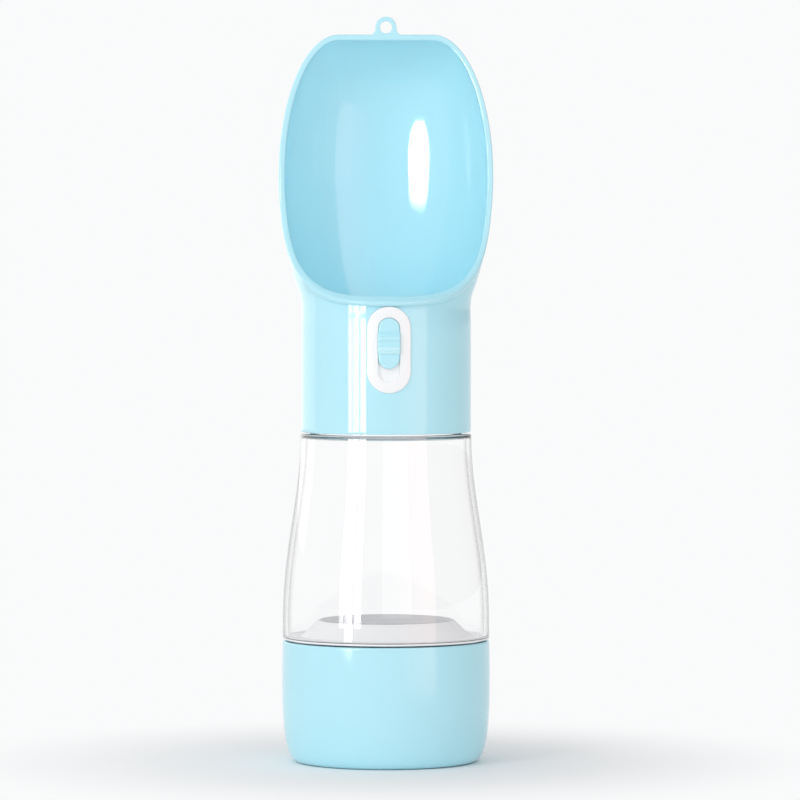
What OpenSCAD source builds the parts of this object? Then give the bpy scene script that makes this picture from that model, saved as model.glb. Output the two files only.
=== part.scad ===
// Travel water bottle with a scoop-shaped drinking bowl, a slide valve and a screw-on food cup.
// Millimetres, +Z up, origin at the centre of the foot, the bowl opens towards -Y.

/* [Food cup] */
// Height of the food cup, foot to rim
cup_h = 44; // [40:0.5:60]
// Largest outer radius of the food cup
cup_r = 37.7; // [37:0.1:41]
// Height of the largest radius above the foot
cup_belly_z = 33; // [28:0.5:38]
// How far the rim draws in from the largest radius
cup_rim_inset = 0.2; // [0:0.1:0.8]
// How far the flat foot draws in from the largest radius
cup_foot_inset = 7.7; // [5:0.1:11]
// Fullness of the rounded side, where 2 is an ellipse
cup_fullness = 3.1; // [2.5:0.1:4]
// Wall beside the skirt of the bottle
cup_wall = 2.3; // [1.8:0.1:2.8]
// Width of the ledge that carries the cup's gasket
cup_ledge_w = 1.7; // [1.3:0.1:2.2]
// Thickness of the cup's floor
cup_floor_t = 2.6; // [2:0.1:4]
// Inner radius between the cup's wall and its floor
cup_corner_r = 9; // [6:0.5:12]
// Depth of the recess inside the foot ring
foot_recess = 0.8; // [0.4:0.1:1.4]
// Width of the foot ring
foot_ring_w = 4.5; // [3:0.5:8]

/* [Water bottle] */
// Height of the bottle's body between its two seams
bottle_h = 74.4; // [60:0.2:110]
// How far the bottle stands back from the food cup
bottle_inset = 0.3; // [0:0.1:0.8]
// How far the shoulder stands out from the collar
shoulder_proud = 0.1; // [0:0.1:0.6]
// Height of the largest radius above the bottle's base
bottle_belly_h = 5.5; // [4:0.5:12]
// How far the waist is drawn towards the shoulder, where 1 is even
bottle_sweep = 1.08; // [0.9:0.01:1.3]
// Wall of the bottle
bottle_wall = 1.8; // [1.4:0.1:2.4]
// Thickness of the bottle's floor
bottle_floor_t = 1.7; // [1.4:0.1:2.2]
// Flat step between the skirt and the raised floor
punt_inset = 1.2; // [0.6:0.1:3]
// Width of the slope round the raised floor
punt_slope_w = 6.3; // [4:0.1:9]
// Rise of the floor
punt_h = 5.4; // [3:0.1:8]
// Wall of the neck
neck_wall = 2.4; // [2:0.1:3]
// Height of the neck above the shoulder
neck_h = 15.1; // [13:0.1:18]
// Wall of the skirt
skirt_wall = 2.2; // [1.8:0.1:2.4]
// Depth of the skirt below the bottle's base
skirt_h = 11.5; // [9:0.5:14]

/* [Seams and seals] */
// Gap between the neck and the collar, where their thread runs
neck_thread_gap = 1.4; // [1:0.1:2]
// Gap between the skirt and the food cup, where their thread runs
cup_thread_gap = 0.9; // [0.6:0.1:1.4]
// Shadow gap between the food cup and the bottle
cup_seam = 0.5; // [0.3:0.1:1]
// Shadow gap between the bottle's shoulder and the collar
head_seam = 0.7; // [0.3:0.1:1.2]
// Thickness of the gasket on the bottle's neck
neck_gasket_t = 2; // [1.5:0.1:2.5]
// How far the neck's gasket stands past each side of the neck's wall
neck_gasket_lap = 0.8; // [0.4:0.1:1]
// Thickness of the gasket in the food cup
cup_gasket_t = 1.5; // [1.2:0.1:2.2]
// Clearance round a gasket or a push-in part
seal_clear = 0.3; // [0.25:0.05:0.5]

/* [Collar] */
// Outer radius of the collar
collar_r = 30.8; // [30.4:0.1:32]
// Wall of the collar
collar_wall = 2; // [1.8:0.1:2.4]
// Height of the stop rib that the valve deck seats on
stop_rib_h = 1.5; // [1:0.1:1.8]
// Width of the stop rib
stop_rib_w = 1.4; // [1:0.1:1.8]

/* [Drinking bowl] */
// Height of the head from the collar's lower edge to the rim's top
head_h = 143.5; // [138:0.5:155]
// Half of the bowl's greatest width
bowl_half_w = 38.8; // [37:0.1:42]
// Height of the greatest width above the collar's lower edge
bowl_wide_h = 92.9; // [90:0.1:98]
// Half of the straight edge at the bowl's top
bowl_top_half = 17; // [14:0.5:20]
// Height over which the bowl narrows towards the collar
bowl_taper_h = 57; // [52:0.5:62]
// How softly the bowl runs into the collar
flare_blend = 1; // [0.5:0.1:2]
// How far the bowl's back stands out behind the collar
bowl_bulge = 2.2; // [0.8:0.1:5]
// Height of the deepest point above the collar's lower edge
bowl_back_h = 85.4; // [80:0.2:92]
// Fullness of the back towards the top, where 2 is an ellipse
back_fullness = 2.2; // [2:0.1:3]
// Wall of the bowl
bowl_wall = 1.5; // [1.3:0.1:1.6]
// Height of the bowl's floor above the collar's lower edge
bowl_floor_h = 45; // [44.6:0.1:45.6]
// Thickness of the bowl's floor
bowl_floor_t = 2; // [1.6:0.1:2.4]
// Radius between the bowl's wall and its floor
bowl_floor_round = 5; // [3:0.5:6]

/* [Rim] */
// Width of the rim bead, seen from the front
rim_w = 2; // [1.9:0.1:3]
// Depth of the rim bead
rim_depth = 3.2; // [2.4:0.1:4]
// How far the bead stands proud of the bowl's outer face
rim_proud = 0.25; // [0.2:0.05:0.3]
// Width of the bead at the front lip
lip_w = 3.7; // [3.6:0.1:4.4]
// How far the front lip stands out from the collar
lip_proud = 1.5; // [1:0.1:1.8]
// Height of the lip's middle above the collar's lower edge
lip_h = 47.8; // [47.6:0.1:49]
// Height above the collar's lower edge where the rim starts to sweep forward
rim_sweep_h = 83.4; // [78:0.2:88]

/* [Lanyard loop] */
// Radius of the loop's hole
loop_bore_r = 2.2; // [1.6:0.1:2.8]
// Ring of material round the loop's hole
loop_ring_w = 1.6; // [1.2:0.1:2.4]
// Height of the hole's centre above the rim's top
loop_rise = 2.6; // [2:0.1:4]
// Radius of the fillets where the loop meets the rim
loop_fillet = 2.2; // [1:0.1:3]
// Thickness of the loop
loop_t = 3; // [2:0.1:3.2]

/* [Slide switch] */
// Width of the white bezel
bezel_w = 15.7; // [14:0.1:18]
// Height of the white bezel
bezel_h = 31; // [29:0.1:31.4]
// Height of the bezel's middle above the collar's lower edge
bezel_mid_h = 30.3; // [30:0.1:30.4]
// How far the bezel stands proud of the collar
bezel_proud = 0.7; // [0.4:0.1:1]
// How far the bezel laps over the edge of its window
bezel_lap = 1; // [0.6:0.1:1.4]
// Width of the slot that the button slides in
slot_w = 7.8; // [7:0.1:9]
// Height of the slot
slot_h = 22.9; // [22:0.1:24]
// Thickness of the floor in the slot
tray_floor_t = 1.2; // [1:0.1:1.4]
// Height of the button
button_h = 18.1; // [17:0.1:19]
// Side clearance of the button in the slot
button_clear = 0.1; // [0.05:0.01:0.2]
// How far the button's ends stand proud of the bezel
button_proud = 0.4; // [0.2:0.1:1]
// Height of the stepped thumb grip on the button
grip_h = 7.6; // [6:0.1:9]
// Width of the thumb grip
grip_w = 8; // [7:0.1:9]
// Rise of each step of the thumb grip
grip_step = 0.4; // [0.2:0.05:0.6]
// Number of steps on each side of the grip
grip_steps = 3; // [2:1:4]
// Width of the button's leg
leg_w = 4; // [3:0.1:5]
// Height of the button's leg
leg_h = 6; // [5:0.1:7]
// Thickness of the carrier's plate
carrier_t = 1.6; // [1.4:0.1:2]
// Width of the carrier's plate
carrier_w = 11; // [9:0.5:12]
// Width of the carrier's arm
arm_w = 4.6; // [4:0.1:6]
// Thickness of the carrier's arm
arm_t = 3; // [2.6:0.1:3.4]

/* [Valve] */
// Thickness of the valve deck
deck_t = 2.5; // [2:0.1:3]
// Radius of the valve seat's bore
seat_r = 4; // [3.5:0.1:4.4]
// Outer radius of the wet chamber
chamber_r = 9; // [8.5:0.1:9.5]
// Wall of the wet chamber
chamber_wall = 2; // [1.6:0.1:2.2]
// Height of the wet chamber above the deck
chamber_h = 8.5; // [8.3:0.1:9]
// Thickness of the gland cap's flange
gland_t = 2.4; // [2.2:0.1:2.6]
// Depth of the gland cap's boss in the chamber
gland_boss_h = 2; // [1.6:0.1:2.2]
// Radius of the valve stem
stem_r = 1.5; // [1.3:0.1:1.8]
// Running clearance of the stem in its bores
stem_clear = 0.08; // [0.02:0.01:0.1]
// Thickness of the stem's O-ring
o_ring_d = 1.8; // [1.4:0.1:2]
// Radius of the valve plug
plug_r = 5.6; // [5:0.1:6.5]
// Thickness of the valve plug under its seat
plug_t = 3; // [2.4:0.1:4]
// Bore radius of the outlet tube
outlet_r = 2.6; // [2.2:0.1:2.7]
// Wall of the outlet tube
outlet_wall = 1; // [0.8:0.1:1]
// Distance of the outlet behind the axis
outlet_y = 16; // [15.5:0.5:18]
// Radius of the outlet tube's bend
outlet_bend = 5; // [4.5:0.1:5.5]
// Clearance round pushed-in joints
push_clear = 0.05; // [0.02:0.01:0.1]

/* [Hidden] */
$fn = 96;

blue = [0.74, 0.93, 0.98];
white = [0.98, 0.98, 0.98];
clear = [0.93, 0.95, 0.96, 0.45];
silicone = [0.90, 0.92, 0.93];

// Heights of the seams and faces, from the foot upwards
base_z = cup_h + cup_seam;
shoulder_z = base_z + bottle_h;
neck_z = shoulder_z + neck_h;
collar_z = shoulder_z + head_seam;
deck_z = neck_z + neck_gasket_t;
deck_top_z = deck_z + deck_t;
skirt_end_z = base_z - skirt_h;
ledge_z = skirt_end_z - cup_gasket_t;
bowl_wide_z = collar_z + bowl_wide_h;
bowl_back_z = collar_z + bowl_back_h;
bowl_floor_z = collar_z + bowl_floor_h;
rim_top_z = collar_z + head_h;
lip_z = collar_z + lip_h;
sweep_z = collar_z + rim_sweep_h;
loop_z = rim_top_z + loop_rise;

// Radii that follow from the cup, the collar and the walls
cup_rim_r = cup_r - cup_rim_inset;
cup_foot_r = cup_r - cup_foot_inset;
cup_thread_r = cup_rim_r - cup_wall;
cup_in_r = cup_thread_r - cup_ledge_w;
bottle_r = cup_r - bottle_inset;
skirt_r = cup_thread_r - cup_thread_gap;
punt_base_r = skirt_r - skirt_wall - punt_inset;
punt_top_r = punt_base_r - punt_slope_w;
shoulder_r = collar_r + shoulder_proud;
collar_in_r = collar_r - collar_wall;
neck_r = collar_in_r - neck_thread_gap;
bowl_back = collar_r + bowl_bulge;
lip_y = collar_r + lip_proud;
stem_bore_r = stem_r + stem_clear;
outlet_out_r = outlet_r + outlet_wall;

// The switch, measured from the slot's upper end where the button rests
bezel_z = collar_z + bezel_mid_h;
slot_top_z = bezel_z + slot_h / 2;
travel = slot_h - button_h - 2 * button_clear;
button_z = slot_top_z - button_clear - button_h / 2;
bezel_r = collar_r + bezel_proud;
tray_r = collar_in_r + tray_floor_t;
button_r = bezel_r + button_proud;
carrier_out_r = collar_in_r - seal_clear;
carrier_in_r = carrier_out_r - carrier_t;

// The valve train, measured from the deck and the carrier
chamber_top_z = deck_top_z + chamber_h;
gland_top_z = chamber_top_z + gland_t;
groove_z = (chamber_top_z - gland_boss_h + gland_top_z - o_ring_d) / 2;
arm_gap = 1;
arm_z = gland_top_z + travel + arm_gap;
hub_wall = 1.9;
hub_r = stem_r + hub_wall;
plate_lap = 3;
stem_head_t = 1.2;
stem_head_lap = 0.9;
stem_head_r = stem_r + stem_head_lap;
stem_top_z = arm_z + arm_t + stem_head_t;
plug_bottom_z = deck_z - plug_t;
plug_nose_h = 1.2;
plug_taper = 0.5;
plug_chamfer = 1.4;
stem_foot_t = 1.2;
stem_foot_lap = 1.7;
stem_foot_r = stem_r + stem_foot_lap;
outlet_z = deck_top_z + outlet_out_r + seal_clear;
riser_bend_z = outlet_z + outlet_bend;

// The collar's plain cylinder ends below the bowl's floor, and the bowl's body reaches down into it
collar_lap = 6;
root_depth = 4;
collar_top_z = bowl_floor_z - collar_lap;
root_z = collar_top_z - root_depth;

// Steps along the curved surfaces
ring_pts = 44;
side_steps = 12;
top_steps = 12;
lip_steps = 14;
floor_steps = 5;
cup_steps = 12;
revolve_steps = 12;

// Overshoot of a cut, overlap of fused pieces, depth of a closing edge and the small edge chamfer
past = 1;
sink = 0.1;
thin = 0.2;
edge = 0.5;

// ---- Curves ----

function soft_max(a, b, k) = (a + b + sqrt(pow(a - b, 2) + k * k)) / 2;

function smooth_step(t) = let (u = min(max(t, 0), 1)) u * u * (3 - 2 * u);

// Half-width of a quarter superellipse at a share t of its height
function quarter(t, fullness) = pow(max(1 - pow(min(max(t, 0), 1), fullness), 0), 1 / fullness);

// Half-width of the head's outline at height z, inset by d
function head_half_w(z, d = 0) =
    z >= bowl_wide_z
        ? bowl_top_half
            + (bowl_half_w - d - bowl_top_half) * quarter((z - bowl_wide_z) / (rim_top_z - d - bowl_wide_z), 2)
        : soft_max(
            bowl_top_half + (bowl_half_w - bowl_top_half) * quarter((bowl_wide_z - z) / bowl_taper_h, 2),
            collar_r, flare_blend) - d;

// Depth of the head behind the axis at height z, inset by d
function head_back(z, d = 0) =
    z >= bowl_back_z
        ? (bowl_back - d) * quarter((z - bowl_back_z) / (rim_top_z - d - bowl_back_z), back_fullness)
        : collar_r + (bowl_back - collar_r) * smooth_step((z - lip_z) / (bowl_back_z - lip_z)) - d;

// One level loop of the head: an ellipse whose back half follows the bowl's back and whose front half is given
function head_ring(z, d, front, shrink = 0) =
    let (
        a = head_half_w(z, d) - shrink,
        back = max(head_back(z, d) - shrink, thin)
    )
    [for (i = [0:ring_pts - 1])
        let (t = 360 * i / ring_pts)
        [a * cos(t), (sin(t) > 0 ? back : front - shrink) * sin(t), z]];

// Loops of the head from a lower level to the top, closer together towards the top
function head_rings(z0, d, front) = concat(
    [for (i = [0:side_steps]) head_ring(z0 + (bowl_wide_z - z0) * i / side_steps, d, front)],
    [for (i = [1:top_steps])
        head_ring(bowl_wide_z + (rim_top_z - d - bowl_wide_z) * sin(90 * i / top_steps), d, front)]
);

// The rim's surface seen from the side: it drops from the axis plane and sweeps forward to the lip.
// Each point is moved along the surface's normal by n.
function rim_curve(n) =
    [for (i = [0:lip_steps])
        let (
            p = 90 * i / lip_steps,
            q = 1 - cos(p),
            rise = sweep_z - lip_z,
            normal = [-rise * q, lip_y * sqrt(1 - q * q)]
        )
        [-lip_y * cos(p), sweep_z - rise * sqrt(1 - q * q)] + n * normal / norm(normal)];

// ---- Solids from loops ----

module loft(rings) {
    n = len(rings[0]);
    m = len(rings);
    walls = [for (j = [0:m - 2], i = [0:n - 1])
        let (a = j * n + i, b = j * n + (i + 1) % n)
        each [[a, a + n, b], [b, a + n, b + n]]];
    ends = [[for (i = [0:n - 1]) i], [for (i = [n - 1:-1:0]) (m - 1) * n + i]];
    polyhedron(points = [for (r = rings) each r], faces = concat(walls, ends));
}

// An upright oblong with round ends
module oblong(w, h) {
    square([w, h - w], center = true);
    for (side = [-1, 1])
        translate([0, side * (h - w) / 2])
            circle(d = w);
}

// Children are drawn on the front and cut to the curved layer between two radii
module front_layer(r_in, r_out, z) {
    intersection() {
        translate([0, 0, z])
            rotate([90, 0, 0])
                linear_extrude(height = r_out + past)
                    children();
        tube(r_in, r_out, z - bezel_h, z + bezel_h);
    }
}

module tube(r_in, r_out, z0, z1) {
    translate([0, 0, z0])
        linear_extrude(height = z1 - z0)
            difference() {
                circle(r = r_out);
                circle(r = r_in);
            }
}

module rod(r, z0, z1) {
    translate([0, 0, z0])
        cylinder(r = r, h = z1 - z0);
}

// ---- Head ----

module bowl_body() {
    loft(head_rings(root_z, rim_proud, collar_r - rim_proud));
}

module bowl_hollow() {
    d = rim_proud + bowl_wall;
    r = bowl_floor_round;
    loft(concat(
        [for (i = [0:floor_steps - 1])
            let (t = 90 * i / floor_steps)
            head_ring(bowl_floor_z + r * (1 - cos(t)), d, collar_r - d, r * (1 - sin(t)))],
        head_rings(bowl_floor_z + r, d, collar_r - d)
    ));
}

// Children are drawn as seen from the right side and run through the whole width of the head
module across_head() {
    rotate([90, 0, 90])
        linear_extrude(height = 2 * (bowl_half_w + past), center = true)
            children();
}

// Everything in front of the rim's surface
module bowl_opening() {
    reach = 2 * lip_y;
    across_head()
        polygon(concat(
            [[-reach, lip_z]],
            rim_curve(0),
            [[0, loop_z + reach], [-reach, loop_z + reach]]
        ));
}

// The bead lies on both sides of the rim's surface and stands proud of the wall inside and outside
module rim_bead() {
    half = rim_depth / 2;
    reach = lip_y + past;
    back = rim_curve(-half);
    intersection() {
        difference() {
            loft(head_rings(root_z, 0, lip_y));
            loft(head_rings(root_z - past, rim_w, lip_y - lip_w));
        }
        across_head()
            polygon(concat(
                [[-reach, lip_z + half]],
                rim_curve(half),
                [[-half, rim_top_z + past], [half, rim_top_z + past]],
                [for (i = [len(back) - 1:-1:0]) back[i]],
                [[-reach, lip_z - half]]
            ));
    }
}

module lanyard_loop() {
    foot = loop_bore_r + loop_ring_w + loop_fillet;
    translate([0, 0, rim_top_z])
        rotate([90, 0, 0])
            linear_extrude(height = loop_t, center = true)
                union() {
                    difference() {
                        translate([-foot, -rim_w / 2])
                            square([2 * foot, rim_w / 2 + loop_fillet]);
                        for (side = [-1, 1])
                            translate([side * foot, loop_fillet - sink])
                                circle(r = loop_fillet);
                    }
                    translate([0, loop_rise])
                        circle(r = loop_bore_r + loop_ring_w);
                }
}

// The switch's window is cut through the stop rib too, as the slide that moulds it would
module head_shell() {
    color(blue)
        difference() {
            union() {
                difference() {
                    union() {
                        bowl_body();
                        rod(collar_r, collar_z, collar_top_z);
                    }
                    bowl_hollow();
                    bowl_opening();
                }
                rim_bead();
                lanyard_loop();
            }
            rod(collar_in_r, collar_z - past, deck_top_z);
            rod(collar_in_r - stop_rib_w, deck_top_z - past, deck_top_z + stop_rib_h + past);
            rod(collar_in_r, deck_top_z + stop_rib_h, bowl_floor_z - bowl_floor_t);
            front_layer(collar_in_r - stop_rib_w - past, collar_r + past, bezel_z)
                oblong(bezel_w - 2 * bezel_lap + 2 * push_clear, bezel_h - 2 * bezel_lap + 2 * push_clear);
            translate([0, outlet_y, 0])
                rod(outlet_out_r + push_clear, bowl_floor_z - bowl_floor_t - past, bowl_floor_z + past);
            translate([0, 0, loop_z])
                rotate([90, 0, 0])
                    cylinder(r = loop_bore_r, h = loop_t + 2 * past, center = true);
        }
}

// ---- Slide switch ----

module switch_bezel() {
    color(white)
        difference() {
            union() {
                front_layer(collar_r, bezel_r, bezel_z)
                    oblong(bezel_w, bezel_h);
                front_layer(collar_in_r, bezel_r - sink, bezel_z)
                    oblong(bezel_w - 2 * bezel_lap, bezel_h - 2 * bezel_lap);
            }
            front_layer(tray_r, bezel_r + past, bezel_z)
                oblong(slot_w, slot_h);
            translate([0, -collar_r, button_z - travel / 2])
                cube([leg_w + 2 * button_clear, 3 * collar_wall, leg_h + travel + 2 * button_clear], center = true);
        }
}

module slide_button() {
    dish_treads = 3;
    tread = grip_h / (2 * grip_steps + dish_treads);
    color(blue)
        union() {
            front_layer(tray_r + button_clear, button_r, button_z)
                oblong(slot_w - 2 * button_clear, button_h);
            for (i = [0:grip_steps - 1])
                front_layer(button_r - sink, button_r + grip_step * (i + 1), button_z)
                    for (side = [-1, 1])
                        translate([0, side * (grip_h / 2 - tread * (i + 0.5))])
                            square([grip_w, tread + sink], center = true);
            front_layer(button_r - sink, button_r + grip_step * (grip_steps - 0.5), button_z)
                square([grip_w, dish_treads * tread + sink], center = true);
            front_layer(carrier_in_r, tray_r + button_clear + sink, button_z)
                square([leg_w, leg_h], center = true);
        }
}

module slide_carrier() {
    plate_top_z = arm_z + arm_t;
    plate_bottom_z = button_z - leg_h / 2 - plate_lap;
    color(white)
        difference() {
            union() {
                front_layer(carrier_in_r, carrier_out_r, (plate_top_z + plate_bottom_z) / 2)
                    square([carrier_w, plate_top_z - plate_bottom_z], center = true);
                translate([-arm_w / 2, -carrier_in_r - carrier_t / 4, arm_z])
                    cube([arm_w, carrier_in_r + carrier_t / 4, arm_t]);
                rod(hub_r, arm_z, arm_z + arm_t);
            }
            rod(stem_r + push_clear, arm_z - past, arm_z + arm_t + past);
            front_layer(carrier_in_r - past, carrier_out_r + past, button_z)
                square([leg_w + 2 * push_clear, leg_h + 2 * push_clear], center = true);
        }
}

// ---- Valve ----

module valve_stem() {
    color(white)
        union() {
            rod(stem_r, plug_bottom_z - stem_foot_t / 2, stem_top_z - stem_head_t / 2);
            rod(stem_foot_r, plug_bottom_z - stem_foot_t, plug_bottom_z);
            rod(stem_head_r, stem_top_z - stem_head_t, stem_top_z);
        }
}

module valve_plug() {
    r = stem_r + push_clear;
    color(silicone)
        rotate_extrude()
            polygon([
                [r, plug_bottom_z], [plug_r - plug_chamfer, plug_bottom_z], [plug_r, plug_bottom_z + plug_chamfer],
                [plug_r, deck_z], [seat_r - seal_clear, deck_z],
                [seat_r - seal_clear - plug_taper, deck_z + plug_nose_h], [r, deck_z + plug_nose_h]
            ]);
}

module valve_deck() {
    color(white)
        difference() {
            union() {
                rod(collar_in_r - seal_clear, deck_z, deck_top_z);
                rod(chamber_r, deck_top_z - past, chamber_top_z);
            }
            rod(chamber_r - chamber_wall, deck_top_z, chamber_top_z + past);
            rod(seat_r, deck_z - past, deck_top_z + past);
            translate([0, 0, outlet_z])
                rotate([-90, 0, 0])
                    cylinder(r = outlet_out_r + push_clear, h = chamber_r + past);
        }
}

module gland_cap() {
    boss_z = chamber_top_z - gland_boss_h;
    color(white)
        difference() {
            union() {
                rod(chamber_r, chamber_top_z, gland_top_z);
                rod(chamber_r - chamber_wall - push_clear, boss_z, chamber_top_z + gland_t / 2);
            }
            rod(stem_bore_r, boss_z - past, gland_top_z + past);
            rod(stem_bore_r + o_ring_d, groove_z - push_clear, groove_z + o_ring_d + push_clear);
        }
}

module stem_o_ring() {
    color([0.2, 0.2, 0.22])
        translate([0, 0, groove_z + o_ring_d / 2])
            rotate_extrude()
                translate([stem_bore_r + o_ring_d / 2, 0])
                    circle(d = o_ring_d);
}

module outlet_tube() {
    color(white)
        difference() {
            outlet_route(outlet_out_r, 0);
            outlet_route(outlet_r, past);
        }
}

// The tube's route: out of the chamber's back, round a bend and up to the bowl's floor
module outlet_route(r, extra) {
    start_y = chamber_r - chamber_wall;
    bend_y = outlet_y - outlet_bend;
    translate([0, start_y - extra, outlet_z])
        rotate([-90, 0, 0])
            cylinder(r = r, h = bend_y - start_y + extra);
    translate([0, bend_y, riser_bend_z])
        rotate([0, 90, 0])
            rotate_extrude(angle = 90)
                translate([outlet_bend, 0])
                    circle(r = r);
    translate([0, outlet_y, 0])
        rod(r, riser_bend_z, bowl_floor_z + extra);
}

// ---- Bottle and seals ----

module neck_gasket() {
    color(silicone)
        tube(neck_r - neck_wall - neck_gasket_lap, neck_r + neck_gasket_lap, neck_z, deck_z);
}

function bottle_radius(h) =
    h <= bottle_belly_h
        ? bottle_r
        : let (t = pow((h - bottle_belly_h) / (bottle_h - bottle_belly_h), bottle_sweep))
          shoulder_r + (bottle_r - shoulder_r) * (1 + cos(180 * t)) / 2;

module water_bottle() {
    floor_z = base_z + bottle_floor_t;
    levels = [for (i = [0:revolve_steps]) bottle_h * i / revolve_steps];
    inner = [for (h = levels) if (h > bottle_floor_t + edge && h < bottle_h - bottle_wall - edge) h];
    color(clear)
        rotate_extrude()
            polygon(concat(
                [[0, base_z + punt_h], [punt_top_r, base_z + punt_h], [punt_base_r - bottle_floor_t / 2, base_z]],
                [[skirt_r - skirt_wall, base_z], [skirt_r - skirt_wall, skirt_end_z]],
                [[skirt_r, skirt_end_z], [skirt_r, base_z], [bottle_r - edge, base_z], [bottle_r, base_z + edge]],
                [for (h = levels) if (h > edge && h < bottle_h - edge) [bottle_radius(h), base_z + h]],
                [[shoulder_r, shoulder_z - edge], [shoulder_r - edge, shoulder_z], [neck_r, shoulder_z]],
                [[neck_r, neck_z], [neck_r - neck_wall, neck_z]],
                [[neck_r - neck_wall, shoulder_z - bottle_wall]],
                [for (i = [len(inner) - 1:-1:0]) [bottle_radius(inner[i]) - bottle_wall, base_z + inner[i]]],
                [[bottle_r - bottle_wall - edge, floor_z], [punt_base_r, floor_z]],
                [[punt_top_r, floor_z + punt_h], [0, floor_z + punt_h]]
            ));
}

module cup_gasket() {
    color(silicone)
        tube(cup_in_r, cup_thread_r - seal_clear, ledge_z, skirt_end_z);
}

// ---- Food cup ----

function cup_radius(z) =
    z >= cup_belly_z
        ? cup_r + (cup_rim_r - cup_r) * smooth_step((z - cup_belly_z) / (cup_h - cup_belly_z))
        : cup_foot_r + (cup_r - cup_foot_r) * quarter((cup_belly_z - z) / cup_belly_z, cup_fullness);

module food_cup() {
    recess_r = cup_foot_r - foot_ring_w;
    low = [for (i = [0:cup_steps]) cup_belly_z * (1 - cos(90 * i / cup_steps))];
    color(blue)
        rotate_extrude()
            polygon(concat(
                [[0, foot_recess], [recess_r - foot_recess, foot_recess], [recess_r, 0]],
                [for (z = low) [cup_radius(z), z]],
                [for (i = [1:4]) let (z = cup_belly_z + (cup_h - edge - cup_belly_z) * i / 4) [cup_radius(z), z]],
                [[cup_rim_r - edge, cup_h], [cup_thread_r, cup_h], [cup_thread_r, ledge_z], [cup_in_r, ledge_z]],
                [for (i = [0:cup_steps])
                    let (t = 90 * i / cup_steps)
                    [cup_in_r - cup_corner_r * (1 - cos(t)), cup_floor_t + cup_corner_r * (1 - sin(t))]],
                [[0, cup_floor_t]]
            ));
}

head_shell();
switch_bezel();
slide_button();
slide_carrier();
valve_stem();
valve_plug();
valve_deck();
gland_cap();
stem_o_ring();
outlet_tube();
neck_gasket();
water_bottle();
cup_gasket();
food_cup();
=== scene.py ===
# %% [markdown]
# # A travel bottle for a dog
# The object is a clear water bottle with a food cup screwed on below and a drinking head above.
# The head is one blue moulding: a collar, a scoop-shaped bowl with a rim bead, and a small lanyard loop.
# A white oblong bezel in the collar holds a blue thumb slide that opens the valve inside.
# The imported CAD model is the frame. Each piece built here stands for a CAD node and rides on its body.

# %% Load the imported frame
import math

import bmesh
import bpy
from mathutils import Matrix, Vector


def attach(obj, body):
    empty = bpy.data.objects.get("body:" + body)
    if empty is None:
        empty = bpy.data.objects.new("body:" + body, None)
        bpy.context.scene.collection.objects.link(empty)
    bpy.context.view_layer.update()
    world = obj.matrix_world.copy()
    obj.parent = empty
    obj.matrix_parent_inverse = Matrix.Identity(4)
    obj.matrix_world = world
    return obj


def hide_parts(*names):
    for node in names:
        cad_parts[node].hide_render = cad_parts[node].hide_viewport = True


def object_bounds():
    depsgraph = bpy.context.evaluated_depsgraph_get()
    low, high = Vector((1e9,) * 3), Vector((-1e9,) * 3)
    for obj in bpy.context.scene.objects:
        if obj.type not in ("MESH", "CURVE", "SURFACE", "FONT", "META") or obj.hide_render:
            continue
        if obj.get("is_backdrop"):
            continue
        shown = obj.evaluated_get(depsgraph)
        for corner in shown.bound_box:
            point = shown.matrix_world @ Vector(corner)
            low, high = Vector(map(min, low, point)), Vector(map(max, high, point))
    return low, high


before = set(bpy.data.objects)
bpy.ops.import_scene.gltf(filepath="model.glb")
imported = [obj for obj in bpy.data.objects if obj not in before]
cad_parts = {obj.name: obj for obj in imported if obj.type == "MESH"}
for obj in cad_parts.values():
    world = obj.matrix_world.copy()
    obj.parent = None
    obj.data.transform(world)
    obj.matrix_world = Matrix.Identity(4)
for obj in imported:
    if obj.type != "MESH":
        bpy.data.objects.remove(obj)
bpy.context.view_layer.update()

MM = 0.001

# %% [markdown]
# ## Camera
# A product picture is taken from far away with a long lens, so upright edges stay upright.
# The camera stands 1.88 m away, a touch left of the bottle's front, and looks down by less than two degrees.
# A short lens close by would bend the bowl's rim and show the cup's foot.

# %% The camera
CAMERA_DISTANCE = 1.88
CAMERA_AZIMUTH = math.radians(-2.2)
CAMERA_HEIGHT = 0.1937
CAMERA_SIDE_STEP = 0.00507
CAMERA_PITCH = math.radians(1.909)
LENS_MM = 233.8

lens = bpy.data.cameras.new("product_camera")
lens.lens = LENS_MM
lens.sensor_width = 36
lens.clip_start = 0.05
lens.clip_end = 60
camera = bpy.data.objects.new("product_camera", lens)
bpy.context.scene.collection.objects.link(camera)
sin_a, cos_a = math.sin(CAMERA_AZIMUTH), math.cos(CAMERA_AZIMUTH)
camera.location = (
    sin_a * CAMERA_DISTANCE + cos_a * CAMERA_SIDE_STEP,
    -cos_a * CAMERA_DISTANCE + sin_a * CAMERA_SIDE_STEP,
    CAMERA_HEIGHT,
)
camera.rotation_euler = (math.pi / 2 - CAMERA_PITCH, 0, CAMERA_AZIMUTH)
bpy.context.scene.camera = camera
bpy.context.scene.view_settings.view_transform = "Standard"
print("camera at", [round(c, 4) for c in camera.location], "with a", LENS_MM, "mm lens")

# %% [markdown]
# ## The bottle's main sizes
# These are the moulder's sizes in millimetres, mostly the same as in the CAD source.
# Kept in one place, they make the rim, the bowl and the loop follow when one of them changes.

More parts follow.
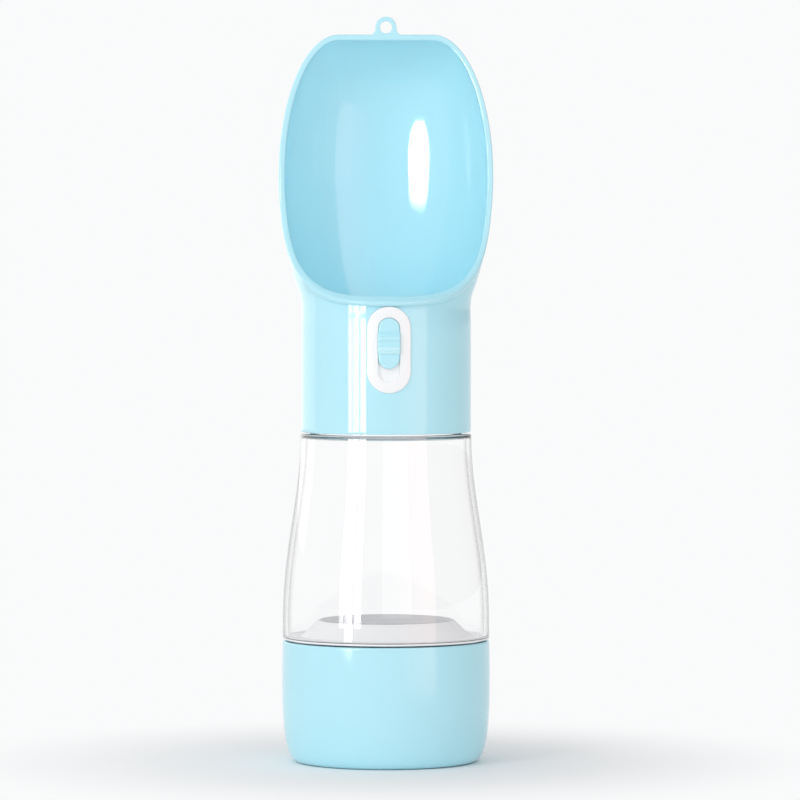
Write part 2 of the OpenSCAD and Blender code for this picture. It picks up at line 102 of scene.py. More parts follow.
# %% Sizes and the curves of the head
COLLAR_Z, COLLAR_R, COLLAR_IN_R = 119.6, 30.8, 28.8
DECK_TOP_Z, STOP_RIB_TOP_Z, STOP_RIB_R = 138.5, 140.0, 27.4
FLOOR_UNDER_Z, FLOOR_Z, FLOOR_ROUND = 162.6, 164.6, 5.0
LIP_Z, SWEEP_Z, LIP_Y, LIP_W = 167.4, 203.0, 32.3, 3.7
RIM_TOP_Z, RIM_W, RIM_DEPTH, RIM_PROUD = 263.1, 2.25, 3.2, 0.25
BOWL_WALL, BOWL_HALF_W, BOWL_TOP_HALF = 1.5, 38.8, 17.0
BOWL_WIDE_Z, BOWL_TAPER_H = 212.5, 57.0
BOWL_BACK, BOWL_BACK_Z, BACK_FULLNESS = 33.0, 205.0, 2.2
LIP_FALL, LIP_RISE, LIP_THIN = 1.4, 0.7, 0.45


def soft_max(a, b, k):
    return (a + b + math.sqrt((a - b) ** 2 + k * k)) / 2


def smooth_step(t):
    u = min(max(t, 0.0), 1.0)
    return u * u * (3 - 2 * u)


def quarter(t, fullness):
    u = min(max(t, 0.0), 1.0)
    return max(1 - u**fullness, 0.0) ** (1 / fullness)


def head_half_width(z, inset):
    if z >= BOWL_WIDE_Z:
        share = (z - BOWL_WIDE_Z) / (RIM_TOP_Z - inset - BOWL_WIDE_Z)
        return BOWL_TOP_HALF + (BOWL_HALF_W - inset - BOWL_TOP_HALF) * quarter(share, 2)
    wide = BOWL_TOP_HALF + (BOWL_HALF_W - BOWL_TOP_HALF) * quarter((BOWL_WIDE_Z - z) / BOWL_TAPER_H, 2)
    return soft_max(wide, COLLAR_R, 1.0) - inset


def head_back_depth(z, inset):
    if z >= BOWL_BACK_Z:
        share = (z - BOWL_BACK_Z) / (RIM_TOP_Z - inset - BOWL_BACK_Z)
        return (BOWL_BACK - inset) * quarter(share, BACK_FULLNESS)
    return COLLAR_R + (BOWL_BACK - COLLAR_R) * smooth_step((z - LIP_Z) / (BOWL_BACK_Z - LIP_Z)) - inset


print("bowl at its widest:", 2 * head_half_width(BOWL_WIDE_Z, 0), "mm, collar:", 2 * COLLAR_R, "mm")

# %% [markdown]
# ## Making a mesh from rings
# Almost every piece here is a stack of rings joined by quads, as if it were turned on a lathe.
# One helper turns lists of points into an object. It works in millimetres and stores metres.
# Edges sharper than 32 degrees stay crisp, the rest is shaded smooth.

# %% Mesh helpers
SMOOTH_ANGLE = math.radians(32)


def shade(mesh):
    mesh.shade_smooth()
    mesh.set_sharp_from_angle(angle=SMOOTH_ANGLE)


def mesh_object(name, points, faces):
    mesh = bpy.data.meshes.new(name)
    mesh.from_pydata([[c * MM for c in p] for p in points], [], faces)
    mesh.validate()
    shape = bmesh.new()
    shape.from_mesh(mesh)
    bmesh.ops.recalc_face_normals(shape, faces=shape.faces)
    shape.to_mesh(mesh)
    shape.free()
    shade(mesh)
    piece = bpy.data.objects.new(name, mesh)
    bpy.context.scene.collection.objects.link(piece)
    return piece


def ring_faces(n, m, closed=False):
    """Quads between m rings of n points each; closed joins the last ring to the first."""
    faces = []
    for j in range(m if closed else m - 1):
        k = (j + 1) % m
        faces += [(j * n + i, j * n + (i + 1) % n, k * n + (i + 1) % n, k * n + i) for i in range(n)]
    return faces


def loft(name, rings):
    """Rings run upwards and each turns anticlockwise seen from above."""
    n, m = len(rings[0]), len(rings)
    faces = ring_faces(n, m) + [tuple(range(n - 1, -1, -1)), tuple(range(m * n - n, m * n))]
    return mesh_object(name, [p for ring in rings for p in ring], faces)


def circle(radius, across=0, along=0, steps=48):
    turns = [2 * math.pi * i / steps for i in range(steps)]
    return [(across + radius * math.cos(a), along + radius * math.sin(a)) for a in turns]


def even_steps(start, end, count):
    return [start + (end - start) * i / count for i in range(count + 1)]


def without_repeats(corners):
    """A face whose corners meet in one point becomes a triangle."""
    return tuple(dict.fromkeys(corners))


def lathe(name, profile, steps, bump=None):
    """Turns a closed profile of (radius, height) points round the upright axis.
    A point on the axis becomes one vertex. bump(radius, height, turn) adds to a radius."""
    points, rows = [], []
    for r, z in profile:
        if r < 1e-6:
            rows.append([len(points)] * steps)
            points.append((0, 0, z))
            continue
        rows.append(list(range(len(points), len(points) + steps)))
        for i, (c, s) in enumerate(circle(1, steps=steps)):
            rr = r + (bump(r, z, i / steps) if bump else 0)
            points.append((rr * c, rr * s, z))
    faces = []
    for low, high in zip(rows, rows[1:] + rows[:1]):
        if low[0] == low[1] and high[0] == high[1]:
            continue
        for i in range(steps):
            k = (i + 1) % steps
            faces.append(without_repeats((low[i], low[k], high[k], high[i])))
    return mesh_object(name, points, faces)


def rounded(profile, radii, steps=5):
    """Rounds the corners of a closed profile. radii gives the radius of each numbered corner."""
    out = []
    count = len(profile)
    for i, (r, z) in enumerate(profile):
        size = radii.get(i, 0)
        if not size:
            out.append((r, z))
            continue
        here = Vector((r, z))
        before = Vector(profile[i - 1]) - here
        after = Vector(profile[(i + 1) % count]) - here
        cut = min(size, 0.45 * before.length, 0.45 * after.length)
        start, end = here + before.normalized() * cut, here + after.normalized() * cut
        for t in even_steps(0, 1, steps):
            out.append(tuple(start * (1 - t) ** 2 + here * 2 * t * (1 - t) + end * t * t))
    return out


def keep_modifiers(piece):
    """Puts what the modifiers make of a piece into its mesh."""
    graph = bpy.context.evaluated_depsgraph_get()
    old, done = piece.data, bpy.data.meshes.new_from_object(piece.evaluated_get(graph))
    piece.modifiers.clear()
    piece.data = done
    done.name = piece.name
    bpy.data.meshes.remove(old)


def cut_away(piece, cutter, operation="DIFFERENCE"):
    """A Boolean whose result is kept in the mesh, so that no cutter is left in the scene."""
    step = piece.modifiers.new("cut", "BOOLEAN")
    step.operation = operation
    step.solver = "EXACT"
    step.object = cutter
    keep_modifiers(piece)
    bpy.data.objects.remove(cutter)
    shade(piece.data)


print("helpers ready")

# %% [markdown]
# ## The bowl's wall
# On the real bottle this is the hardest piece to mould: a scoop that is round below, wide in the middle,
# straight along its top edge, and open towards the dog. Each level of it is half an ellipse in front and
# half an ellipse behind. It could be sculpted, but measured rings give the same shape on every run.
# The outside and the inside are two stacks of rings. The inside is cut out of the outside.

# %% Rings of the head
RING_POINTS = 160
LEAST_BACK = 0.12
FOOT_ROUND = 0.4
BOWL_STARTS_Z = 160
INSET_STARTS_Z, INSET_RUN = 158.0, 7.0


def head_ring(z, inset, shrink=0.0):
    half_width = head_half_width(z, inset) - shrink
    front = COLLAR_R - inset - shrink
    back = max(head_back_depth(z, inset) - shrink, LEAST_BACK)
    return [(half_width * c, (back if s > 0 else front) * s, z) for c, s in circle(1, steps=RING_POINTS)]


def level_heights(bottom, inset, side=70, top=46):
    """Even steps up to the widest level, then closer and closer steps towards the top."""
    low = even_steps(bottom, BOWL_WIDE_Z, side)[:-1]
    rise = RIM_TOP_Z - inset - BOWL_WIDE_Z
    return low + [BOWL_WIDE_Z + rise * math.sin(t) for t in even_steps(0, math.pi / 2, top)]


def wall_inset(z):
    """The collar is at full size, and the bowl's wall lies a little inside its rim bead."""
    return RIM_PROUD * smooth_step((z - INSET_STARTS_Z) / INSET_RUN)


outer_rings = []
for z in [COLLAR_Z, COLLAR_Z + 0.12, COLLAR_Z + FOOT_ROUND, *level_heights(COLLAR_Z + 1.2, RIM_PROUD)]:
    inset = wall_inset(z)
    if z < COLLAR_Z + FOOT_ROUND:
        inset += FOOT_ROUND * (1 - quarter(1 - (z - COLLAR_Z) / FOOT_ROUND, 2))
    if z > BOWL_STARTS_Z:
        outer_rings.append(head_ring(z, inset))
    else:
        outer_rings.append([(x, y, z) for x, y in circle(COLLAR_R - inset, steps=RING_POINTS)])
drinking_head = loft("drinking_head", outer_rings)

inner_inset = RIM_PROUD + BOWL_WALL
inner_rings = []
for t in even_steps(0, math.pi / 2, 9)[:-1]:
    z = FLOOR_Z + FLOOR_ROUND * (1 - math.cos(t))
    inner_rings.append(head_ring(z, inner_inset, FLOOR_ROUND * (1 - math.sin(t))))
for z in level_heights(FLOOR_Z + FLOOR_ROUND, inner_inset, side=56):
    inner_rings.append(head_ring(z, inner_inset))
cut_away(drinking_head, loft("bowl_hollow", inner_rings))
print("bowl wall:", len(drinking_head.data.polygons), "faces")

# %% [markdown]
# ## The open front
# Seen from the side, the rim runs straight down from the top and then sweeps forward to the lip.
# That line, pushed sideways through the whole head, makes one cutter, so both sides come out the same.

# %% Cut the open front
CLEAR_Y, CLEAR_Z, CLEAR_X = -60.0, 300.0, BOWL_HALF_W + 5


def forward_share(y):
    """One at the very front of the lip, nothing where the rim has reached the bowl's sides."""
    return min(max(-y / LIP_Y, 0.0), 1.0)


def rim_height(y):
    """Height of the rim's surface at a place y in front of the axis."""
    q = 1 - forward_share(y)
    return SWEEP_Z - (SWEEP_Z - LIP_Z) * math.sqrt(max(1 - q * q, 0.0))


def rim_normal(y):
    q = 1 - forward_share(y)
    return Vector((0, -(SWEEP_Z - LIP_Z) * q, LIP_Y * math.sqrt(max(1 - q * q, 0.0)))).normalized()


side_view = [(CLEAR_Y, LIP_Z - LIP_RISE)]
for t in even_steps(0, math.pi / 2, 60):
    y = -LIP_Y * math.cos(t)
    side_view.append((y, rim_height(y) - LIP_RISE * forward_share(y) ** 2))
side_view += [(0.0, CLEAR_Z), (CLEAR_Y, CLEAR_Z)]
opening = [(x, y, z) for x in (-CLEAR_X, CLEAR_X) for y, z in side_view]
count = len(side_view)
opening_faces = [tuple(range(count - 1, -1, -1)), tuple(range(count, 2 * count))]
opening_faces += [((i + 1) % count, (i + 1) % count + count, i + count, i) for i in range(count)]
cut_away(drinking_head, mesh_object("bowl_opening", opening, opening_faces))
print("opened bowl:", len(drinking_head.data.polygons), "faces")

# %% [markdown]
# ## The rim bead
# A real bowl has a rolled edge, because a thin plastic edge would be sharp for a dog's mouth.
# The bead follows the rim as a closed loop of small rounded sections, about two millimetres wide, and widens
# to a broad lip at the front, whose flat face slopes down to the outside so that water runs off it.
# The width of a bevelled curve could not change in one direction only, so each section is placed between the
# bead's outer and inner edge lines.

# %% Sweep the rim bead
SECTION_POINTS = 24
SECTION_FULLNESS = 4.0


def rim_edges():
    """Pairs of (outer, inner) points along the right half of the rim, from the lip to the top's middle."""
    pairs = []
    quarter_turn = even_steps(0, math.pi / 2, 54)[:-1]
    for t in quarter_turn:
        across, forward = math.sin(t), math.cos(t)
        y_out, y_in = -LIP_Y * forward, -(LIP_Y - LIP_W) * forward
        z_out, z_in = rim_height(y_out), rim_height(y_in)
        pairs.append((
            (head_half_width(z_out, 0) * across, y_out, z_out - LIP_FALL * forward**2),
            (head_half_width(z_in, RIM_W) * across, y_in, z_in + LIP_RISE * forward**2),
        ))
    for z in even_steps(SWEEP_Z, BOWL_WIDE_Z, 9)[:-1]:
        pairs.append(((head_half_width(z, 0), 0, z), (head_half_width(z, RIM_W), 0, z)))
    rise = RIM_TOP_Z - BOWL_WIDE_Z
    run = BOWL_HALF_W - BOWL_TOP_HALF
    for t in quarter_turn:
        c, s = math.cos(t), math.sin(t)
        pairs.append((
            (BOWL_TOP_HALF + run * c, 0, BOWL_WIDE_Z + rise * s),
            (BOWL_TOP_HALF + (run - RIM_W) * c, 0, BOWL_WIDE_Z + (rise - RIM_W) * s),
        ))
    for x in even_steps(BOWL_TOP_HALF, 0, 14):
        pairs.append(((x, 0, RIM_TOP_Z), (x, 0, RIM_TOP_Z - RIM_W)))
    return pairs


def fuller(v):
    return math.copysign(abs(v) ** (2 / SECTION_FULLNESS), v)


section = [(fuller(c), fuller(s)) for c, s in circle(1, steps=SECTION_POINTS)]
half = rim_edges()
mirror = [tuple((-p[0], p[1], p[2]) for p in pair) for pair in half[-2:0:-1]]
bead_points = []
for outer, inner in half + mirror:
    outer, inner = Vector(outer), Vector(inner)
    middle, across = (outer + inner) / 2, (outer - inner) / 2
    forward = rim_normal(middle.y)
    side = across.normalized()
    forward = (forward - side * forward.dot(side)).normalized()
    forward *= RIM_DEPTH / 2 * (1 - LIP_THIN * forward_share(middle.y) ** 2)
    for c, s in section:
        bead_points.append(tuple(middle + across * c + forward * s))
bead = mesh_object("rim_bead", bead_points, ring_faces(SECTION_POINTS, len(half + mirror), closed=True))
cut_away(drinking_head, bead, "UNION")
print("rim bead:", len(half + mirror), "sections")

# %% [markdown]
# ## The lanyard loop
# A small flat ring stands on the middle of the rim's top, with a fillet on each side for strength.
# Its outline is drawn once, pushed to its thickness, drilled and bevelled, and then joined to the rim.

# %% The lanyard loop
LOOP_Z, LOOP_BORE, LOOP_RING, LOOP_FILLET, LOOP_THICK = 265.7, 2.2, 1.6, 2.2, 3.0
loop_r = LOOP_BORE + LOOP_RING
foot = loop_r + LOOP_FILLET
fillet_z = RIM_TOP_Z + LOOP_FILLET - 0.1


def arc(radius, x, z, from_deg, to_deg, steps):
    turns = [math.radians(a) for a in even_steps(from_deg, to_deg, steps)]
    return [(x + radius * math.cos(t), z + radius * math.sin(t)) for t in turns]


outline = [(-foot, RIM_TOP_Z - 1), (foot, RIM_TOP_Z - 1)]
outline += arc(LOOP_FILLET, foot, fillet_z, 270, 180, 12)
outline += arc(loop_r, 0, LOOP_Z, 0, 180, 40)
outline += arc(LOOP_FILLET, -foot, fillet_z, 360, 270, 12)


def slab(name, outline, y0, y1):
    """An outline in x and z, pushed from y0 to y1."""
    n = len(outline)
    points = [(x, y, z) for y in (y0, y1) for x, z in outline]
    faces = [tuple(range(n)), tuple(range(2 * n - 1, n - 1, -1))]
    faces += [(i, (i + 1) % n, (i + 1) % n + n, i + n) for i in range(n)]
    return mesh_object(name, points, faces)


lanyard_loop = slab("lanyard_loop", outline, -LOOP_THICK / 2, LOOP_THICK / 2)
cut_away(lanyard_loop, slab("loop_drill", circle(LOOP_BORE, 0, LOOP_Z), -3, 3))
bevel = lanyard_loop.modifiers.new("soft_edges", "BEVEL")
bevel.width = 0.38 * MM
bevel.segments = 4
bevel.angle_limit = math.radians(50)
keep_modifiers(lanyard_loop)
cut_away(drinking_head, lanyard_loop, "UNION")
print("loop joined:", len(drinking_head.data.polygons), "faces")

# %% [markdown]
# ## Screw threads
# The collar screws onto the bottle's neck and the food cup onto the skirt below.
# A real thread is a ridge that climbs round the wall. A ridge could be swept along a spiral and joined on,
# but it is simpler to let the lathe push its rows out where the spiral passes, with soft starts and ends.

# %% A screw ridge for the lathe
ROW_STEP = 0.3
CREST_HALF_W, FLANK_W, RUN_OUT = 0.45, 0.6, 1.6


def screw_ridge(z, turn, bottom, top, pitch, depth, phase=0.0):
    """How far a right-hand thread stands out at a height z and a share of a turn."""
    if z <= bottom or z >= top:
        return 0.0
    k = ((z - bottom) / pitch - turn + phase) % 1.0
    off_crest = min(k, 1 - k) * pitch
    crest = 1 - smooth_step((off_crest - CREST_HALF_W) / FLANK_W)
    ends = smooth_step((z - bottom) / RUN_OUT) * smooth_step((top - z) / RUN_OUT)
    return depth * crest * ends


def fine_rows(r, z0, z1):
    return [(r, z) for z in even_steps(z0, z1, max(1, round(abs(z1 - z0) / ROW_STEP)))]


NECK_THREAD = {"bottom": 120.4, "top": 133.4, "pitch": 4.5}
CUP_THREAD = {"bottom": 33.6, "top": 43.4, "pitch": 4.0}
print("neck thread:", NECK_THREAD, "cup thread:", CUP_THREAD)

# %% [markdown]
# ## Inside the collar
# From below, the collar is a tube with a screw thread, a stop rib for the valve deck and a switch window.
# It shows when the head is unscrewed, so it is cut here as it would be moulded.

# %% Hollow the collar
THREADED_TO_Z = 136.0
bore = [(0, COLLAR_Z - 2), (COLLAR_IN_R + 0.5, COLLAR_Z - 2), (COLLAR_IN_R + 0.5, COLLAR_Z)]
bore += fine_rows(COLLAR_IN_R, COLLAR_Z + 0.5, THREADED_TO_Z)
bore += [(COLLAR_IN_R, DECK_TOP_Z), (STOP_RIB_R, DECK_TOP_Z), (STOP_RIB_R, STOP_RIB_TOP_Z),
         (COLLAR_IN_R, STOP_RIB_TOP_Z), (COLLAR_IN_R, FLOOR_UNDER_Z), (0, FLOOR_UNDER_Z)]


def collar_thread(r, z, turn):
    return -screw_ridge(z, turn, depth=0.85, phase=0.5, **NECK_THREAD) if r == COLLAR_IN_R else 0


cut_away(drinking_head, lathe("collar_bore", bore, steps=144, bump=collar_thread))

# %% [markdown]
# ## Pieces draped on the collar
# The bezel and the button are flat oblongs in a drawing, but the real ones follow the round collar.
# So each outline is drawn flat and laid onto a cylinder. A stack of such outlines, each with its own width,
# height and radius, gives the sides, the rounded edges, the face and the recess in one closed mesh.

# %% Draped outlines
END_STEPS = 20
SIDE_STEPS = 12
CAP_COLUMNS = 12
CORNER_STEPS = 4


def oblong_rows(w, h):
    """Half-width and height of each row of an upright oblong with round ends, from below to above."""
    r, straight = w / 2, (h - w) / 2
    rows = arc(r, 0, -straight, -90, 0, END_STEPS)
    rows += [(r, z) for z in even_steps(-straight, straight, SIDE_STEPS)[1:-1]]
    return rows + arc(r, 0, straight, 0, 90, END_STEPS)


def drape(x, z, radius):
    return (x, -math.sqrt(radius * radius - x * x), z)


def draped_stack(name, z_mid, layers):
    """layers is a list of (width, height, radius), from the back face to the front face."""
    loops = []
    points, faces = [], []
    for w, h, radius in layers:
        rows = oblong_rows(w, h)
        inner = rows[1:-1]
        loop = [(0.0, rows[0][1]), *inner, (0.0, rows[-1][1])] + [(-a, z) for a, z in reversed(inner)]
        loops.append(list(range(len(points), len(points) + len(loop))))
        points += [drape(x, z_mid + z, radius) for x, z in loop]
    n = len(loops[0])
    for a, b in zip(loops, loops[1:]):
        faces += [(a[i], a[(i + 1) % n], b[(i + 1) % n], b[i]) for i in range(n)]
    for loop, (w, h, radius) in ((loops[0], layers[0]), (loops[-1], layers[-1])):
        rows = oblong_rows(w, h)
        grid = [[loop[0]] * (CAP_COLUMNS + 1)]
        for j in range(1, len(rows) - 1):
            half_w, z = rows[j]
            row = [loop[n - j]]
            for k in range(1, CAP_COLUMNS):
                row.append(len(points))
                points.append(drape(half_w * (2 * k / CAP_COLUMNS - 1), z_mid + z, radius))
            grid.append(row + [loop[j]])
        grid.append([loop[len(rows) - 1]] * (CAP_COLUMNS + 1))
        for low, high in zip(grid, grid[1:]):
            faces += [without_repeats((low[k], low[k + 1], high[k + 1], high[k])) for k in range(CAP_COLUMNS)]
    return mesh_object(name, points, faces)


def soft_corner(w, h, radius, size, outward=True):
    """Layers that round the edge between a side and a face; outward edges shrink as they rise."""
    layers = []
    for t in even_steps(0, math.pi / 2, CORNER_STEPS):
        if outward:
            draw_in, drop = size * (1 - math.cos(t)), size * (1 - math.sin(t))
        else:
            draw_in, drop = -size * (1 - math.sin(t)), size * (1 - math.cos(t))
        layers.append((w - 2 * draw_in, h - 2 * draw_in, radius - drop))
    return layers


print("an oblong has", len(oblong_rows(8, 20)), "rows")

# %% Cut the switch window and the outlet hole
BEZEL_Z, BEZEL_W, BEZEL_H, BEZEL_R = 149.9, 15.7, 31.0, 31.5
SLOT_W, SLOT_H, TRAY_R = 7.8, 22.9, 30.0
WINDOW_W, WINDOW_H, OUTLET_R, OUTLET_Y = 13.8, 29.1, 3.65, 16
window = [(WINDOW_W, WINDOW_H, radius) for radius in (STOP_RIB_R - 0.5, 36.0)]
cut_away(drinking_head, draped_stack("switch_window", BEZEL_Z, window))
outlet = circle(OUTLET_R, 0, OUTLET_Y)
drill = [[(x, y, z) for x, y in outlet] for z in (FLOOR_UNDER_Z - 1, FLOOR_Z + 1)]
cut_away(drinking_head, loft("outlet_drill", drill))
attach(drinking_head, "head")
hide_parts("head_shell")
print("drinking head:", len(drinking_head.data.polygons), "faces")

# %% [markdown]
# ## The white bezel
# The bezel snaps into the collar's window. Its face stands 0.7 mm proud, and its slot has a white floor.
# Small rounded edges matter here: they catch the light and draw the thin grey outline in the picture.

# %% The white bezel
BODY_W, BODY_H, FLANGE_R = 13.7, 29.0, COLLAR_R + 0.03
LEG_HALF_W, LEG_HALF_H, LEG_FRONT_Y, LEG_BACK_Y = 2.1, 5.4, -30.6, -27
layers = [(BODY_W, BODY_H, COLLAR_IN_R), (BODY_W, BODY_H, FLANGE_R), (BEZEL_W, BEZEL_H, FLANGE_R)]
layers += soft_corner(BEZEL_W, BEZEL_H, BEZEL_R, 0.4)
layers += soft_corner(SLOT_W, SLOT_H, BEZEL_R, 0.3, outward=False)
layers += [(SLOT_W, SLOT_H, TRAY_R + 0.25), (SLOT_W - 0.15, SLOT_H - 0.15, TRAY_R + 0.06),
           (SLOT_W - 0.5, SLOT_H - 0.5, TRAY_R)]
oblong_bezel = draped_stack("oblong_bezel", BEZEL_Z, layers)
leg_slot = [(i * LEG_HALF_W, BEZEL_Z + j * LEG_HALF_H) for i, j in ((-1, -1), (1, -1), (1, 1), (-1, 1))]
cut_away(oblong_bezel, slab("leg_slot", leg_slot, LEG_FRONT_Y, LEG_BACK_Y))
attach(oblong_bezel, "head")
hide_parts("switch_bezel")
print("bezel:", len(oblong_bezel.data.polygons), "faces")

# %% [markdown]
# ## The thumb button
# The button is a blue pill that slides in the slot. A thumb grip stands on it: three steps on each side climb
# to a shallow dish. The grip is a strip of rows across the button, each row lifted to its step's height.

# %% The thumb button
BUTTON_Z, BUTTON_W, BUTTON_H, BUTTON_R = 152.2, 7.6, 18.1, 31.9
GRIP_W, GRIP_RISE, GRIP_DISH, GRIP_FOOT = 8.0, 0.4, 0.45, -0.1
LEG_W, LEG_H, LEG_END_R, BUTTON_BACK_R = 4.0, 6.0, 26.9, TRAY_R + 0.1
layers = [(LEG_W, LEG_H, LEG_END_R), (LEG_W, LEG_H, BUTTON_BACK_R), (BUTTON_W, BUTTON_H, BUTTON_BACK_R)]
layers += soft_corner(BUTTON_W, BUTTON_H, BUTTON_R, 0.45)
thumb_button = draped_stack("thumb_button", BUTTON_Z, layers)

step_edges = [3.9, 3.42, 2.55, 1.3]
grip_profile = [(-step_edges[0], GRIP_FOOT)]
for i, edge in enumerate(step_edges[:3]):
    grip_profile += [(-edge, GRIP_RISE * (i + 0.75)), (-edge + 0.1, GRIP_RISE * (i + 1)),
                     (-step_edges[i + 1] - 0.06, GRIP_RISE * (i + 1))]
for s in even_steps(-1, 1, 12):
    grip_profile.append((step_edges[3] * s, GRIP_RISE * 3 - GRIP_DISH * (1 - s * s)))
grip_profile += [(-z, rise) for z, rise in reversed(grip_profile[:10])]
side_drop = [(1.0, 0.42), (0.985, 0.2), (0.95, 0.06), (0.88, 0.0)]
columns = [(-s, d) for s, d in side_drop] + [(0.88 * (k / 4 - 1), 0.0) for k in range(1, 8)]
columns += [(s, d) for s, d in reversed(side_drop)]
grip_points = []
for z, rise in grip_profile:
    for share, drop in columns:
        lift = max(rise - drop, GRIP_FOOT) if rise > 0 else rise
        grip_points.append(drape(GRIP_W / 2 * share, BUTTON_Z + z, BUTTON_R + lift))
wide, tall, under = len(columns), len(grip_profile), len(grip_points)
for z, rise in grip_profile:
    grip_points += [drape(GRIP_W / 2 * share, BUTTON_Z + z, BUTTON_R - 0.12) for share, drop in columns]
grip_faces = []
for j in range(tall - 1):
    for k in range(wide - 1):
        a = j * wide + k
        grip_faces.append((a, a + 1, a + 1 + wide, a + wide))
        grip_faces.append((under + a, under + a + wide, under + a + 1 + wide, under + a + 1))
borders = [(j * wide + k, (j + 1) * wide + k) for j in range(tall - 1) for k in (0, wide - 1)]
borders += [(j * wide + k, j * wide + k + 1) for k in range(wide - 1) for j in (0, tall - 1)]
grip_faces += [(a, b, under + b, under + a) for a, b in borders]
cut_away(thumb_button, mesh_object("thumb_grip", grip_points, grip_faces), "UNION")
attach(thumb_button, "slider")
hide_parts("slide_button")
print("button:", len(thumb_button.data.polygons), "faces")

# %% [markdown]
# ## The clear bottle
# The bottle is a turned shape: a gentle S from the shoulder to the base, a raised floor inside, a neck above
# and a skirt below. Glass and clear plastic only look right when the wall has a real thickness,
# so the profile runs down the inside and back up the outside, and every corner has a small radius.

# %% The clear bottle
BASE_Z, SHOULDER_Z, NECK_Z, SKIRT_END_Z = 44.5, 118.9, 134.0, 33.0
BOTTLE_R, SHOULDER_R, BELLY_H, SWEEP, BOTTLE_WALL = 37.4, 30.9, 5.5, 1.08, 1.8
NECK_R, NECK_WALL, SKIRT_R, SKIRT_IN_R = 27.4, 2.4, 34.3, 32.1
PUNT_R, PUNT_TOP_R, PUNT_H, BOTTLE_FLOOR = 30.9, 24.6, 5.4, 1.7
SHOULDER_WALL, RING_FLOOR = 0.9, 0.9


def bottle_radius(z):
    h, whole = z - BASE_Z, SHOULDER_Z - BASE_Z
    if h <= BELLY_H:
        return BOTTLE_R
    t = ((h - BELLY_H) / (whole - BELLY_H)) ** SWEEP
    return SHOULDER_R + (BOTTLE_R - SHOULDER_R) * (1 + math.cos(math.pi * t)) / 2


floor_z = BASE_Z + BOTTLE_FLOOR
neck_in_r, inner_r, shoulder_under_z = NECK_R - NECK_WALL, BOTTLE_R - BOTTLE_WALL, SHOULDER_Z - SHOULDER_WALL
profile = rounded([(SKIRT_IN_R, SKIRT_END_Z), (SKIRT_R, SKIRT_END_Z), (SKIRT_R, BASE_Z), (BOTTLE_R, BASE_Z),
                   (BOTTLE_R, BASE_Z + 2)], {0: 0.4, 1: 0.4, 2: 0.3, 3: 0.8})[:-1]
skirt_rows = [p for p in profile if p[0] <= SKIRT_R and p[1] <= SKIRT_END_Z + 0.5]
base_rows = [p for p in profile if p[1] > BASE_Z - 0.5]
profile = skirt_rows + fine_rows(SKIRT_R, SKIRT_END_Z + 0.6, BASE_Z - 0.6) + base_rows
profile += [(bottle_radius(z), z) for z in even_steps(BASE_Z + 1.5, SHOULDER_Z - 0.8, 64)]
profile += rounded([(SHOULDER_R, SHOULDER_Z - 2), (SHOULDER_R, SHOULDER_Z), (NECK_R, SHOULDER_Z),
                    (NECK_R, SHOULDER_Z + 2)], {1: 0.8, 2: 0.4})[1:-1]
profile += fine_rows(NECK_R, SHOULDER_Z + 0.8, NECK_Z - 0.8)
profile += rounded([(NECK_R, NECK_Z - 2), (NECK_R, NECK_Z), (neck_in_r, NECK_Z), (neck_in_r, NECK_Z - 2)],
                   {1: 0.5, 2: 0.5})[1:-1]
profile += rounded([(neck_in_r, NECK_Z - 4), (neck_in_r, shoulder_under_z),
                    (SHOULDER_R - BOTTLE_WALL, shoulder_under_z),
                    (SHOULDER_R - BOTTLE_WALL, SHOULDER_Z - 6)], {1: 0.8, 2: 0.8}, steps=7)[1:-1]
profile += [(bottle_radius(z) - BOTTLE_WALL, z) for z in even_steps(SHOULDER_Z - 3.6, floor_z + 2.2, 60)]
profile += rounded([(inner_r, floor_z + 4), (inner_r, BASE_Z + RING_FLOOR), (PUNT_R, BASE_Z + RING_FLOOR),
                    (PUNT_TOP_R, floor_z + PUNT_H), (0, floor_z + PUNT_H)],
                   {1: 0.8, 2: 0.9, 3: 0.9}, steps=7)[1:]
profile += rounded([(0, BASE_Z + PUNT_H), (PUNT_TOP_R, BASE_Z + PUNT_H), (PUNT_R - BOTTLE_FLOOR / 2, BASE_Z),
                    (SKIRT_IN_R, BASE_Z), (SKIRT_IN_R, SKIRT_END_Z + 2)], {1: 0.7, 2: 0.7, 3: 0.3})[:-1]


def bottle_threads(r, z, turn):
    if r == NECK_R:
        return screw_ridge(z, turn, depth=0.85, **NECK_THREAD)
    if r == SKIRT_R:
        return screw_ridge(z, turn, depth=0.55, **CUP_THREAD)
    return 0.0


clear_bottle = lathe("clear_bottle", profile, steps=192, bump=bottle_threads)
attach(clear_bottle, "bottle")
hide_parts("water_bottle")
print("clear bottle:", len(clear_bottle.data.polygons), "faces")

# %% [markdown]
# ## The food cup
# The cup hides a dry meal below the bottle. It is turned too, with a full round bottom edge that curls
# under to a foot ring. A real cup stands on that ring only, so the middle of its base is set up a little.

# %% The food cup
CUP_H, CUP_R, CUP_BELLY_Z, CUP_RIM_R, CUP_FOOT_R, CUP_FULLNESS = 44.0, 37.7, 33.0, 37.5, 30.0, 3.1
CUP_THREAD_R, CUP_IN_R, LEDGE_Z, CUP_FLOOR, CUP_CORNER = 35.2, 33.5, 31.5, 2.6, 9.0
FOOT_RECESS, FOOT_RING = 0.8, 4.5


def cup_radius(z):
    if z >= CUP_BELLY_Z:
        return CUP_R + (CUP_RIM_R - CUP_R) * smooth_step((z - CUP_BELLY_Z) / (CUP_H - CUP_BELLY_Z))
    return CUP_FOOT_R + (CUP_R - CUP_FOOT_R) * quarter((CUP_BELLY_Z - z) / CUP_BELLY_Z, CUP_FULLNESS)


